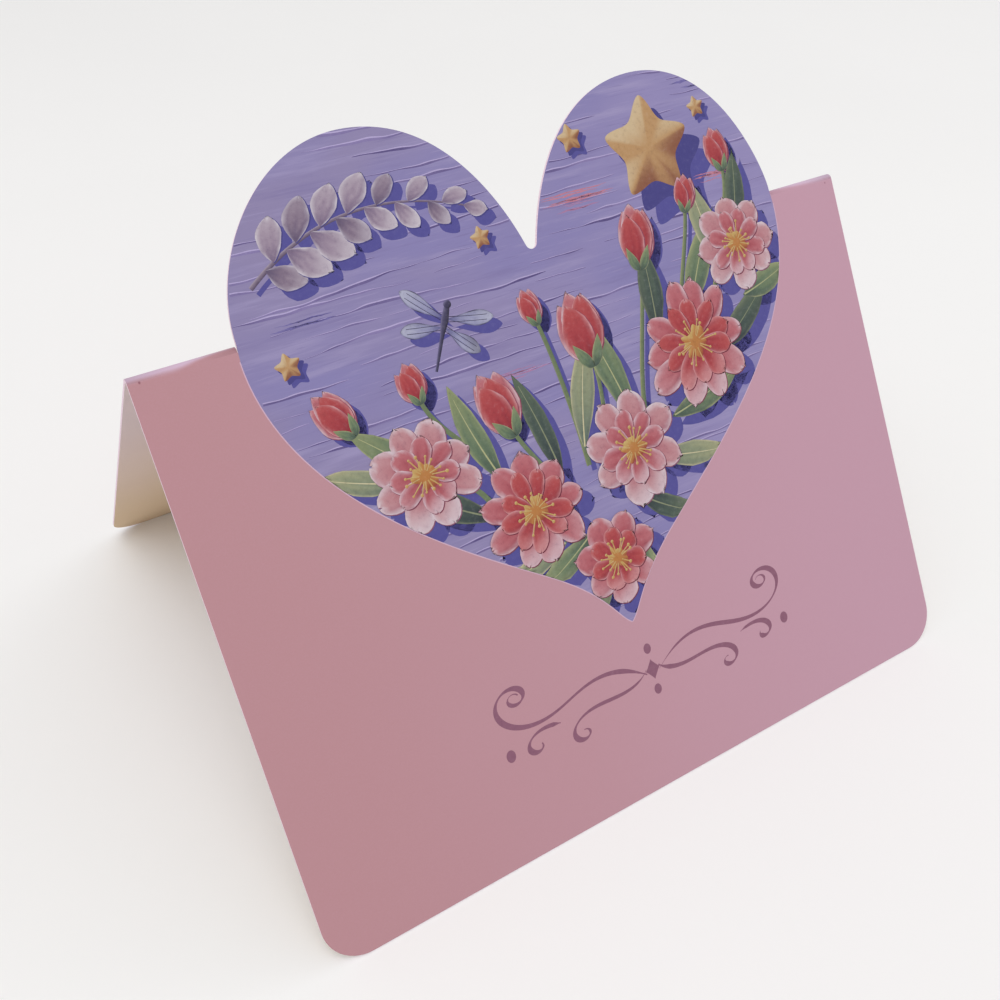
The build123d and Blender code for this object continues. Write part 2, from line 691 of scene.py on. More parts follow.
@dataclass(frozen=True)
class CombedGround:
    """The lilac ground of the heart, printed to look like plaster that was combed from side to side."""

    dusky: np.ndarray = field(default_factory=lambda: linear(139, 129, 168))
    lilac: np.ndarray = field(default_factory=lambda: linear(144, 135, 181))
    blue: np.ndarray = field(default_factory=lambda: linear(133, 126, 175))
    pale: np.ndarray = field(default_factory=lambda: linear(157, 148, 188))
    dark: np.ndarray = field(default_factory=lambda: linear(120, 110, 158))
    drift: float = 30 * MM

    def build(self) -> bpy.types.Material:
        """Makes the material: long flat noise gives the combing, over a colour that is dustier to the left.

        Returns:
            The material.
        """
        s = Shader("combed_ground")
        place = s.node("UVMap", uv_map=PRINT_UV).outputs[0]
        slow = s.noise(s.stretched(place, (1.0, 2.2, 1)), 4.0, 2.0)
        swept = s.noise(s.stretched(place, (1.0, 11, 1), 0.03), 5.0, 4.0, 0.6)
        fine = s.noise(s.stretched(place, (1.0, 26, 1), 0.02), 14.0, 3.0, 0.65)
        grain = s.noise(place, 900, 2.0, 0.6)
        across = s.node("SeparateXYZ", {0: s.node("TexCoord").outputs["Object"]}).outputs[0]
        lilac = s.mix(s.ramp(across, -self.drift, self.drift), self.dusky, self.lilac)
        colour = s.mix(s.ramp(slow, 0.35, 0.65), lilac, self.blue)
        colour = s.mix(s.ramp(swept, 0.5, 0.72, 0.0, 0.7), colour, self.pale)
        colour = s.mix(s.ramp(swept, 0.46, 0.3, 0.0, 0.45), colour, self.dark)
        colour = s.mix(s.ramp(fine, 0.56, 0.72, 0.0, 0.5), colour, self.pale)
        colour = s.mix(s.ramp(fine, 0.42, 0.3, 0.0, 0.45), colour, self.dark)
        colour = s.mix(s.ramp(grain, 0.3, 0.7, 0.0, 0.08), colour, self.dark)
        return s.surface(colour, s.ramp(grain, 0.3, 0.7, 0.5, 0.62), grain, 3 * MICRON, 0.35)


@dataclass(frozen=True)
class PictureInk:
    """Ink whose colour is painted into the mesh, broken up by fine streaks and grain."""

    name: str = "picture_ink"
    streak: float = 0.16

    def build(self) -> bpy.types.Material:
        """Makes the material: the mesh's own colour, lightened and darkened by noise.

        Returns:
            The material.
        """
        s = Shader(self.name)
        place = s.node("UVMap", uv_map=PRINT_UV).outputs[0]
        ink = s.node("Attribute", attribute_name=INK).outputs["Color"]
        dabs = s.noise(place, 150, 4.0, 0.7)
        grain = s.noise(place, 900, 2.0, 0.6)
        light = s.mix(s.ramp(dabs, 0.5, 0.75, 0.0, self.streak), ink, (0.3, 0.28, 0.3), "SCREEN")
        deep = s.ramp(dabs, 0.5, 0.28, 0.0, self.streak * 2.2)
        colour = s.mix(deep, light, (0.5, 0.44, 0.56), "MULTIPLY")
        colour = s.mix(s.ramp(grain, 0.3, 0.7, 0.0, 0.10), colour, (0.6, 0.55, 0.62), "MULTIPLY")
        return s.surface(colour, s.ramp(grain, 0.3, 0.7, 0.48, 0.6), grain, 3 * MICRON, 0.35)


@dataclass(frozen=True)
class Floor:
    """A plain pale studio floor."""

    shade: tuple[float, float, float] = (0.9, 0.9, 0.9)
    half_size: float = 12.0

    def build(self) -> None:
        """Lays the floor at the height that the card stands on."""
        s = Shader("studio_floor")
        place = s.node("TexCoord").outputs["Object"]
        colour = s.mix(s.ramp(s.noise(place, 6, 2.0), 0.3, 0.7), self.shade, np.array(self.shade) * 0.985)
        rough = s.ramp(s.noise(place, 90, 2.0), 0.3, 0.7, 0.6, 0.7)
        material = s.surface(colour, rough, s.noise(place, 400), 10 * MICRON, 0.2)
        reach = self.half_size
        corners = [(-reach, -reach, 0), (reach, -reach, 0), (reach, reach, 0), (-reach, reach, 0)]
        mesh = bpy.data.meshes.new("floor")
        mesh.from_pydata(corners, [], [(0, 1, 2, 3)])
        mesh.materials.append(material)
        floor = bpy.data.objects.new("floor", mesh)
        bpy.context.scene.collection.objects.link(floor)


@dataclass
class Card:
    """The folded sheet itself: two flat panels, two strips of bend, and the rim that closes them."""

    sheet: Sheet
    heart: Heart
    die_gap: float = 0.12 * MM
    bend_steps: int = 18
    corner_steps: int = 14

    def corner(self, sign: int) -> np.ndarray:
        """A rounded bottom corner: a quarter circle.

        Args:
            sign: 1 for the right corner, and -1 for the left.

        Returns:
            Points of u and v, in the order of a walk from left to right along the bottom.
        """
        radius = self.sheet.corner_radius
        angle = np.linspace(0, math.pi / 2, self.corner_steps)
        across = self.sheet.width / 2 - radius + radius * np.sin(angle)
        up = radius - radius * np.cos(angle)
        points = np.stack([sign * across, up], -1)
        return points if sign > 0 else points[::-1]

    def panel(self, crest: np.ndarray) -> np.ndarray:
        """A panel's outline: along the bottom, up the right edge, in along the bend, and over the crest.

        Args:
            crest: The outline between the two bends, from right to left, as points of u and v.

        Returns:
            Points of u and v, counter-clockwise seen from outside.
        """
        edge, top = self.sheet.width / 2, self.sheet.flat_height
        right = [(edge, top), (self.heart.right.shoulder + self.die_gap, top)]
        left = [(-self.heart.left.shoulder - self.die_gap, top), (-edge, top)]
        return np.vstack([self.corner(-1), self.corner(1), right, crest, left])

    def front_crest(self) -> np.ndarray:
        """The heart's lobes as they stand over the bend, with the square cut at each side of them.

        Returns:
            Points of u and v, from right to left.
        """
        shoulder = self.sheet.bend_length / 2
        feet = np.array([[self.heart.right.shoulder, -shoulder], [-self.heart.left.shoulder, -shoulder]])
        return np.vstack([feet[:1], self.heart.crest(shoulder), feet[1:]]) + [0, self.heart.fold]

    def back_crest(self) -> np.ndarray:
        """The opening's edge in the back panel: the crest grown by the cut and turned over the crease."""
        crest = self.heart.crest(self.sheet.bend_length / 2, self.die_gap)[1:-1]
        return np.stack([crest[:, 0], self.sheet.panel_height - crest[:, 1]], -1)

    def skin_points(self, front: np.ndarray, back: np.ndarray, lift: float) -> np.ndarray:
        """A skin's points: the front panel's outline, the back panel's, and the rows of each strip of bend.

        Args:
            front: The front panel's outline, as u and v.
            back: The back panel's outline, as u and v.
            lift: How far out from the sheet's outer face the skin lies.

        Returns:
            Points of x, y and z.
        """
        turn = np.linspace(0, 1, self.bend_steps + 1)[1:-1, None]
        points = [self.sheet.on_panel(*front.T, lift), self.sheet.on_panel(*back.T, lift, side=1)]
        for lobe in (self.heart.right, self.heart.left):
            across = lobe.side * np.array([[self.sheet.width / 2, lobe.shoulder + self.die_gap]])
            points.append(self.sheet.on_bend(across, turn, lift).reshape(-1, 3))
        return np.vstack(points)

    def strip(self, front_count: int, back_count: int, number: int) -> list[list[int]]:
        """The faces of a strip of bend: a ladder from the front panel's top edge to the back panel's.

        Args:
            front_count: How many points the front panel has.
            back_count: How many points the back panel has.
            number: 0 for the right strip, whose ends follow a panel's corners, and 1 for the left, whose
                ends close a panel's outline.

        Returns:
            Four point numbers for each face, turned to look outwards.
        """
        after_corners = 2 * self.corner_steps
        rows = np.arange(2 * (self.bend_steps - 1)).reshape(-1, 2)
        rows += front_count + back_count + number * rows.size
        if number == 0:
            first, last = [after_corners, after_corners + 1], [after_corners, after_corners + 1]
        else:
            first, last = [front_count - 1, front_count - 2], [back_count - 1, back_count - 2]
        rungs = np.vstack([first, rows, np.array(last) + front_count])
        quads = np.stack([rungs[:-1, 0], rungs[1:, 0], rungs[1:, 1], rungs[:-1, 1]], -1)
        return (quads if number == 0 else quads[:, ::-1]).tolist()

    def outer_skin(self) -> tuple[np.ndarray, np.ndarray, list[list[int]]]:
        """The outer skin: first a many-sided face for each panel, and then the strips of bend.

        Returns:
            Its points, the same points on the inner face, and its faces.
        """
        front, back = self.panel(self.front_crest()), self.panel(self.back_crest())
        outer, under = (self.skin_points(front, back, lift) for lift in (0.0, -self.sheet.thickness))
        numbers = list(range(len(front) + len(back)))
        faces = [numbers[:len(front)], numbers[:len(front) - 1:-1]]
        for number in (0, 1):
            faces += self.strip(len(front), len(back), number)
        return outer, under, faces

    @staticmethod
    def rim(faces: list[list[int]], shift: int) -> list[list[int]]:
        """The walls that join two skins: a quad at each edge that only one face has.

        Args:
            faces: The outer skin's faces.
            shift: The number that a point of the inner skin is above its outer point.

        Returns:
            The walls' faces.
        """
        edges = np.concatenate([np.stack([f, np.roll(f, -1)], -1) for f in map(np.array, faces)])
        there = set(map(tuple, edges.tolist()))
        return [[b, a, a + shift, b + shift] for a, b in edges.tolist() if (b, a) not in there]

    def build(self) -> bpy.types.Object:
        """Joins the two skins and the rim to one closed sheet, and dresses its three kinds of face.

        Returns:
            The card.
        """
        outer, under, faces = self.outer_skin()
        shift = len(outer)
        inside = [[i + shift for i in f][::-1] for f in faces]
        walls = self.rim(faces, shift)
        mesh = bpy.data.meshes.new("card_sheet")
        mesh.from_pydata(np.vstack([outer, under]).tolist(), [], faces + inside + walls)
        kinds = np.repeat([0, 1, 2], [len(faces), len(inside), len(walls)])
        bent = np.arange(len(kinds)) % len(faces) > 1
        smooth = (kinds < 2) & bent
        mesh.polygons.foreach_set("material_index", kinds.astype(np.int32))
        mesh.polygons.foreach_set("use_smooth", smooth)
        for finish in (PinkPrint(sheet=self.sheet), CreamBoard(), CutEdge()):
            mesh.materials.append(finish.build())
        mesh.update()
        piece = new_object("card_sheet", mesh)
        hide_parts(CARD_NODE)
        return piece


class Tier(Enum):
    """The level where each kind of ink starts, in steps over the card. Later ones cover earlier ones."""

    GROUND = 6
    COMBING = 8
    SHADOW = 11
    MIST = 13
    STEM = 22
    LEAF = 24
    BLOOM = 40
    MARK = 4


@dataclass
class InkFilm:
    """Gathers flat patches of ink into one mesh on the panel. Painted shadows may go to another film."""

    name: str
    sheet: Sheet
    mask: HeartMask | None = None
    shadows: "InkFilm | None" = None
    step: float = 1 * MICRON
    points: list[np.ndarray] = field(default_factory=list)
    flat: list[np.ndarray] = field(default_factory=list)
    inks: list[np.ndarray] = field(default_factory=list)
    faces: list[np.ndarray] = field(default_factory=list)
    count: int = 0

    def add(self, u: np.ndarray, v: np.ndarray, ink: np.ndarray, level: float,
            closed: bool = False) -> None:
        """Adds a patch, a grid of points that runs row by row.

        Args:
            u: Along the fold, for each row and column.
            v: Up the panel, for each row and column.
            ink: The linear colour, for each row and column.
            level: How many steps over the card it lies.
            closed: Whether each row's last point joins its first.
        """
        if self.mask is not None:
            u, v = self.mask.held(u, v)
        spots = self.sheet.on_panel(u, v, np.full(u.shape, level * self.step)).reshape(-1, 3)
        out = Vector((0, -math.cos(self.sheet.half_angle), math.sin(self.sheet.half_angle)))
        quads = facing(spots, grid_quads(*u.shape, closed=closed), out)
        self.points.append(spots)
        self.flat.append(np.stack([u, v], -1).reshape(-1, 2))
        self.inks.append(np.broadcast_to(ink, (*u.shape, 3)).reshape(-1, 3))
        self.faces.append(quads + self.count)
        self.count += len(spots)

    def build(self, material: bpy.types.Material, slot: str) -> bpy.types.Object:
        """Makes the mesh with its colours and its flat map, a tenth of a metre to a unit.

        Args:
            material: Its ink.
            slot: Not used.

        Returns:
            The film.
        """
        points, quads = np.vstack(self.points), np.vstack(self.faces)
        mesh = bpy.data.meshes.new(self.name)
        mesh.vertices.add(len(points))
        mesh.vertices.foreach_set("co", points.ravel())
        mesh.loops.add(quads.size)
        mesh.loops.foreach_set("vertex_index", quads.ravel().astype(np.int32))
        mesh.polygons.add(len(quads))
        mesh.polygons.foreach_set("loop_start", np.arange(0, quads.size, 4, dtype=np.int32))
        mesh.update(calc_edges=True)
        colours = np.hstack([np.clip(np.vstack(self.inks), 0, 1), np.ones((len(points), 1))])
        mesh.color_attributes.new(INK, "FLOAT_COLOR", "POINT").data.foreach_set("color", colours.ravel())
        layer = mesh.uv_layers.new(name=PRINT_UV)
        layer.data.foreach_set("uv", (np.vstack(self.flat)[quads.ravel()] / (100 * MM)).ravel())
        mesh.materials.append(material)
        return new_object(self.name, mesh)


LIGHT_FROM = np.array([-0.55, 0.84])


@dataclass(frozen=True)
class Tint:
    """The inks of a petal or a leaf: from its base to its tip, on its rim, and on its shaded side."""

    base: np.ndarray
    body: np.ndarray
    tip: np.ndarray
    rim: np.ndarray
    shade: np.ndarray
    rim_width: float = 0.2
    rim_strength: float = 0.9
    streaks: float = 4.5

    def over(self, along: np.ndarray, across: np.ndarray, angle: float, aspect: float,
             rng: np.random.Generator) -> np.ndarray:
        """Colours a blade: base to tip, streaks that run along it, a lit side, and a broken pale rim.

        A blade that points down has a pale tip, as thick paint has where it turns to the light.

        Args:
            along: From 0 at the base to 1 at the tip.
            across: From -1 to 1 over its width.
            angle: The way it points.
            aspect: Its length over half its width.
            rng: Where the streaks' places come from.

        Returns:
            A linear colour for each point.
        """
        colour = blended(self.base, self.body, smooth_step(0.02, 0.45, along))
        colour = blended(colour, self.tip, 0.75 * smooth_step(0.5, 1.0, along))
        drift = 1.6 * wander(along * 0.7, rng, 3) + rng.uniform(0, 6)
        streak = 0.5 + 0.5 * np.sin(across * math.pi * self.streaks + drift)
        colour = blended(colour, self.tip, 0.4 * streak * smooth_step(0.15, 0.6, along))
        colour = blended(colour, self.shade, 0.3 * (1 - streak) * smooth_step(0.9, 0.2, along))
        side = across * (np.array([-math.sin(angle), math.cos(angle)]) @ LIGHT_FROM)
        colour = blended(colour, self.shade, 0.5 * smooth_step(0.15, 1.1, -side))
        colour = blended(colour, self.rim, 0.35 * smooth_step(0.15, 1.1, side))
        turned = smooth_step(0.3, 1.0, -math.sin(angle)) * smooth_step(0.45, 0.95, along + 0.2 * across)
        colour = blended(colour, self.rim, 0.7 * turned)
        edge = np.maximum(np.abs(across), 1 - (1 - along) * aspect)
        ragged = 0.75 + 0.45 * wander(along * 2 + across * 0.8, rng, 4, 6)
        strength = self.rim_strength * ragged * smooth_step(1 - 1.7 * self.rim_width, 1, edge)
        return blended(colour, self.rim, strength)


@dataclass(frozen=True)
class Blade:
    """A petal, leaf or wing seen flat: a width that swells and closes along a middle line that may bend."""

    length: float
    width: float
    widest: float = 0.6
    bluntness: float = 0.6
    bend: float = 0.0
    ruffle: float = 0.0
    seed: int = 0
    rows: int = 15
    columns: int = 11

    def spine(self, base: np.ndarray, angle: float, along: np.ndarray, across: np.ndarray) -> np.ndarray:
        """Places a share of the length, and a distance across, along the bent middle line.

        Args:
            base: Where the blade starts.
            angle: The way it points.
            along: The share of its length.
            across: The distance from its middle line.

        Returns:
            Points of u and v.
        """
        ahead = np.array([math.cos(angle), math.sin(angle)])
        left = np.array([-ahead[1], ahead[0]])
        aside = across + self.bend * self.length * along**2
        return base + (along * self.length)[..., None] * ahead + aside[..., None] * left

    def paint(self, film: InkFilm, base: np.ndarray, angle: float, ink: "Tint | np.ndarray",
              level: float, rng: np.random.Generator, grow: float = 0.0) -> None:
        """Adds the blade: half its width is a power of a sine that peaks at the blade's widest place.

        Its ruffles come from its own seed, so that its shadow and the line round it have the same form.

        Args:
            film: Where it goes.
            base: Where it starts.
            angle: The way it points.
            ink: Its inks, or one colour.
            level: Its level over the card.
            rng: Where its streaks come from.
            grow: How much bigger it is drawn, all round.
        """
        shape = np.random.default_rng(self.seed)
        painted = isinstance(ink, Tint)
        steps = 0.5 - 0.5 * np.cos(np.linspace(0.04, math.pi - 0.06, self.rows))
        places = np.sin(np.linspace(-1, 1, self.columns if painted else 5) * math.pi / 2)
        along, across = np.meshgrid(steps, places, indexing="ij")
        bent = along ** (math.log(0.5) / math.log(self.widest))
        swell = np.sin(math.pi * bent) ** self.bluntness
        half = (self.width / 2 + grow) * swell * (1 + self.ruffle * wander(along, shape, 4, 5))
        wavy = 1 + self.ruffle * 0.5 * wander(across * 0.5, shape, 3, 4) * smooth_step(0.5, 1, along)
        share = along * wavy * (1 + grow / self.length)
        spots = self.spine(np.array(base), angle, share, half * across)
        if painted:
            ink = ink.over(along, across, angle, 2 * self.length / self.width, rng)
        film.add(spots[..., 0], spots[..., 1], ink, level)


def stroke(film: InkFilm, path: np.ndarray, widths: np.ndarray, inks: tuple, level: float) -> None:
    """Adds a line of ink: a ribbon that follows a path, lit on one side and dark on the other.

    Args:
        film: Where it goes.
        path: Points of u and v.
        widths: Its width at each point.
        inks: Its light, middle and dark colours.
        level: Its level over the card.
    """
    light, body, dark = inks
    ahead = np.gradient(path, axis=0)
    ahead /= np.linalg.norm(ahead, axis=1, keepdims=True)
    left = np.stack([-ahead[:, 1], ahead[:, 0]], -1)
    across = np.array([-1, -0.4, 0.4, 1])[None]
    side = across * (left @ LIGHT_FROM)[:, None]
    ink = blended(blended(body, dark, smooth_step(0.1, 0.9, -side)), light, smooth_step(0.1, 0.9, side))
    spots = path[:, None] + (across * widths[:, None] / 2)[..., None] * left[:, None]
    film.add(spots[..., 0], spots[..., 1], ink, level)


def puff(film: InkFilm, centre: tuple[float, float], rim: np.ndarray, inks: tuple, level: float,
         power: float = 1.6, rings: int = 9) -> None:
    """Adds a rounded shape: rings that grow from its centre to its rim, lit where the rim faces the light.

    Args:
        film: Where it goes.
        centre: Its middle.
        rim: Its outline about the middle, counter-clockwise.
        inks: Its light, middle and dark colours.
        level: Its level over the card.
        power: How close to the rim its roundness starts.
        rings: How many rings of points it has.
    """
    light, body, dark = inks
    tangent = np.roll(rim, -1, axis=0) - np.roll(rim, 1, axis=0)
    normal = np.stack([tangent[:, 1], -tangent[:, 0]], -1)
    normal /= np.linalg.norm(normal, axis=1, keepdims=True)
    rho = np.linspace(0, 1, rings)[:, None]
    lit = rho**power * (normal @ LIGHT_FROM)[None]
    ink = blended(blended(body, dark, smooth_step(0.0, 0.95, -lit)), light, smooth_step(0.05, 0.9, lit))
    film.add(centre[0] + rho * rim[:, 0], centre[1] + rho * rim[:, 1], ink, level, closed=True)


def ragged_oval(width: float, height: float, turn: float, ragged: float, rng: np.random.Generator,
                count: int = 56) -> np.ndarray:
    """An oval whose outline wanders: its reach at each angle is changed by a sum of whole waves.

    Args:
        width: Its full width.
        height: Its full height.
        turn: Its turn, counter-clockwise.
        ragged: How much its outline wanders.
        rng: Where the wandering comes from.
        count: How many points it has.

    Returns:
        Points about its middle, counter-clockwise.
    """
    angle = np.linspace(0, 2 * math.pi, count, endpoint=False)
    waves = np.arange(2, 12)
    phases = rng.uniform(0, 2 * math.pi, waves.size)
    reach = 1 + ragged * (np.sin(angle[:, None] * waves + phases) / waves**0.5).sum(1) * 0.5
    spots = np.stack([np.cos(angle) * width / 2, np.sin(angle) * height / 2], -1) * reach[:, None]
    cos_t, sin_t = math.cos(turn), math.sin(turn)
    return spots @ np.array([[cos_t, sin_t], [-sin_t, cos_t]])


class Palette:
    """The picture's inks."""

    ROSE = Tint(linear(136, 48, 58), linear(168, 78, 88), linear(184, 112, 120), linear(206, 180, 189),
                linear(119, 53, 74), rim_width=0.22)
    BLUSH = Tint(linear(160, 73, 83), linear(177, 112, 120), linear(190, 144, 150), linear(209, 194, 202),
                 linear(133, 78, 104), rim_width=0.26)
    CORAL = Tint(linear(134, 37, 48), linear(163, 54, 62), linear(177, 78, 79), linear(201, 146, 150),
                 linear(107, 32, 53), rim_width=0.17, streaks=3.5)
    MOSS = Tint(linear(71, 88, 76), linear(99, 120, 93), linear(134, 142, 103), linear(171, 172, 128),
                linear(52, 66, 70), rim_width=0.14, rim_strength=0.6, streaks=2.5)
    SAGE = Tint(linear(93, 108, 97), linear(130, 140, 114), linear(162, 160, 124), linear(201, 192, 155),
                linear(71, 84, 87), rim_width=0.14, rim_strength=0.6, streaks=2.5)
    PINE = Tint(linear(44, 54, 58), linear(66, 82, 76), linear(90, 104, 85), linear(132, 138, 109),
                linear(40, 44, 60), rim_width=0.12, rim_strength=0.5, streaks=2.5)
    WING = Tint(linear(94, 94, 138), linear(144, 144, 178), linear(176, 178, 198), linear(48, 44, 74),
                linear(110, 110, 160), rim_width=0.13, rim_strength=1.0, streaks=3.0)
    CAST = linear(80, 76, 146)
    CAST_DEEP = linear(66, 62, 128)
    WINE = linear(132, 60, 84)
    STALK = (linear(158, 160, 112), linear(103, 118, 86), linear(63, 76, 70))
    GOLD = (linear(200, 177, 142), linear(181, 142, 98), linear(134, 84, 62))
    POLLEN = (linear(194, 169, 106), linear(179, 120, 63), linear(147, 69, 49))
    ANTHER = (linear(202, 190, 140), linear(189, 153, 92), linear(163, 101, 64))
    SILVER = Tint(linear(122, 104, 130), linear(152, 134, 153), linear(176, 163, 177),
                  linear(200, 193, 203), linear(104, 90, 124), rim_width=0.2, streaks=3.0)
    PEWTER = Tint(linear(98, 84, 110), linear(128, 110, 130), linear(152, 138, 154), linear(182, 174, 188),
                  linear(86, 74, 112), rim_width=0.2, streaks=3.0)
    TWIG = (linear(160, 148, 164), linear(112, 96, 118), linear(78, 66, 94))
    RIDGE = (linear(176, 164, 206), linear(132, 120, 168), linear(88, 76, 128))
    BODY = (linear(110, 104, 140), linear(58, 54, 84), linear(34, 30, 52))
    MAUVE = linear(137, 90, 112)
    BORDER = linear(206, 172, 192)


@dataclass(frozen=True)
class Bloom:
    """An open flower seen from above: rings of petals about a gold middle, and its painted shadow."""

    centre: tuple[float, float]
    radius: float
    petals: int = 9
    rings: int = 2
    turn: float = 0.0
    tint: Tint = Palette.ROSE
    inner: Tint = Palette.ROSE
    cast: tuple[float, float] = (1.3, -1.7)
    line: tuple[float, float] = (0.08, -0.1)

    def paint(self, film: InkFilm, level: float, rng: np.random.Generator) -> None:
        """Adds the shadow, the petals from the outer ring inwards, the middle and its stamens.

        Args:
            film: Where it goes.
            level: The level of its first petal.
            rng: Where its irregularities come from.
        """
        middle, cast, line = (np.array(place) * MM for place in (self.centre, self.cast, self.line))
        for ring in range(self.rings):
            reach = self.radius * MM * (1 - 0.3 * ring)
            width = 3.7 * reach / self.petals**0.93
            tint = self.tint if ring == 0 else self.inner
            for petal in range(self.petals):
                turn = self.turn + 2 * math.pi * (petal + 0.5 * ring) / self.petals + rng.normal(0, 0.05)
                blade = Blade(reach * rng.uniform(0.9, 1.03), width * rng.uniform(0.92, 1.12), 0.68, 0.48,
                              rng.normal(0, 0.05), 0.06, int(rng.integers(1 << 20)))
                if ring == 0:
                    blade.paint(film.shadows, middle + cast, turn, Palette.CAST, Tier.SHADOW.value, rng,
                                0.15 * MM)
                blade.paint(film, middle + line, turn, tint.shade, level - 0.5, rng, 0.03 * MM)
                blade.paint(film, middle, turn, tint, level, rng)
                level += 1
        self.paint_middle(film, middle, level, rng)

    def paint_middle(self, film: InkFilm, middle: np.ndarray, level: float,
                     rng: np.random.Generator) -> None:
        """Adds a ragged gold middle with thin stamens that end in dots.

        Args:
            film: Where it goes.
            middle: The flower's middle.
            level: The level of the middle.
            rng: Where its irregularities come from.
        """
        size = 0.44 * self.radius * MM
        puff(film, middle, ragged_oval(size, size, 0, 0.3, rng), Palette.POLLEN, level)
        for turn in np.linspace(0, 2 * math.pi, 15, endpoint=False) + rng.normal(0, 0.12, 15):
            reach = self.radius * MM * rng.uniform(0.26, 0.42)
            way = np.array([math.cos(turn), math.sin(turn)])
            path = middle + np.linspace(0.3 * reach, reach, 5)[:, None] * way
            stroke(film, path, np.full(5, 0.16 * MM), Palette.ANTHER, level + 1)
            dot = rng.uniform(0.3, 0.48) * MM
            puff(film, path[-1], ragged_oval(dot, dot, 0, 0.1, rng, 10), Palette.ANTHER, level + 2, rings=3)


@dataclass(frozen=True)
class Cup:
    """A tulip or a bud seen from the side, on a stem that curves down to the foot of the bunch."""

    base: tuple[float, float]
    height: float
    lean: float
    foot: tuple[float, float]
    tint: Tint = Palette.CORAL
    petals: tuple[tuple[float, float, float, Tint | None], ...] = (
        (-0.34, 0.92, 0.44, Palette.ROSE), (0.34, 0.9, 0.44, Palette.ROSE), (0.0, 1.0, 0.5, Palette.ROSE),
        (-0.16, 0.9, 0.5, None), (0.2, 0.84, 0.46, None),
    )
    cast: tuple[float, float] = (1.1, -1.3)
    stem_cast: tuple[float, float] = (0.6, -0.8)
    line: tuple[float, float] = (0.09, -0.1)

    def paint(self, film: InkFilm, level: float, rng: np.random.Generator) -> None:
        """Adds the stem, the shadow, three petals behind and two in front, and two sepals.

        Args:
            film: Where it goes.
            level: The level of its first petal.
            rng: Where its irregularities come from.
        """
        base, foot = np.array(self.base) * MM, np.array(self.foot) * MM
        cast, stem_cast, line = (np.array(place) * MM for place in (self.cast, self.stem_cast, self.line))
        height, lean = self.height * MM, math.radians(self.lean)
        ahead = np.array([math.cos(lean), math.sin(lean)])
        middle = [base, base - ahead * 5 * MM, foot + [0, 6 * MM], foot]
        stem = bezier(np.array(middle), 16)
        width = np.linspace(0.55, 0.75, 16) * MM
        stroke(film.shadows, stem + stem_cast, width, (Palette.CAST,) * 3, Tier.SHADOW.value)
        stroke(film, stem, width, Palette.STALK, Tier.STEM.value)
        start = base - ahead * 0.06 * height
        for spread, share, wide, tint in self.petals:
            turn = lean + spread + rng.normal(0, 0.03)
            blade = Blade(height * share, height * wide, 0.5, 0.75, -0.32 * spread, 0.04,
                          int(rng.integers(1 << 20)))
            blade.paint(film.shadows, start + cast, turn, Palette.CAST, Tier.SHADOW.value, rng)
            blade.paint(film, start + line, turn, Palette.WINE, level - 0.5, rng, 0.04 * MM)
            blade.paint(film, start, turn, tint or self.tint, level, rng)
            level += 1
        for spread in (-0.75, 0.75):
            sepal = Blade(height * 0.42, height * 0.17, 0.4, 0.9, 0.25 * np.sign(spread) * -1)
            sepal.paint(film, base - ahead * 0.1 * height, lean + spread, Palette.MOSS, level, rng)


@dataclass(frozen=True)
class Leaf:
    """A long leaf with a pale rib and a painted shadow."""

    base: tuple[float, float]
    length: float
    width: float
    lean: float
    bend: float = 0.0
    tint: Tint = Palette.MOSS
    cast: tuple[float, float] = (1.1, -1.4)
    rib_width: tuple[float, float] = (0.24, 0.06)
    rib_steps: int = 12

    def paint(self, film: InkFilm, level: float, rng: np.random.Generator) -> None:
        """Adds the shadow, the leaf and its rib.

        Args:
            film: Where it goes.
            level: Its level over the card.
            rng: Where its irregularities come from.
        """
        base, cast, lean = np.array(self.base) * MM, np.array(self.cast) * MM, math.radians(self.lean)
        blade = Blade(self.length * MM, self.width * MM, 0.5, 0.85, self.bend, 0.06,
                      int(rng.integers(1 << 20)))
        blade.paint(film.shadows, base + cast, lean, Palette.CAST, Tier.SHADOW.value, rng)
        blade.paint(film, base, lean, self.tint, level, rng)
        rib = blade.spine(base, lean, np.linspace(0.03, 0.9, self.rib_steps), np.zeros(self.rib_steps))
        width = np.linspace(*self.rib_width, self.rib_steps) * MM
        stroke(film, rib, width, (self.tint.rim, self.tint.rim, self.tint.body), level + 0.4)


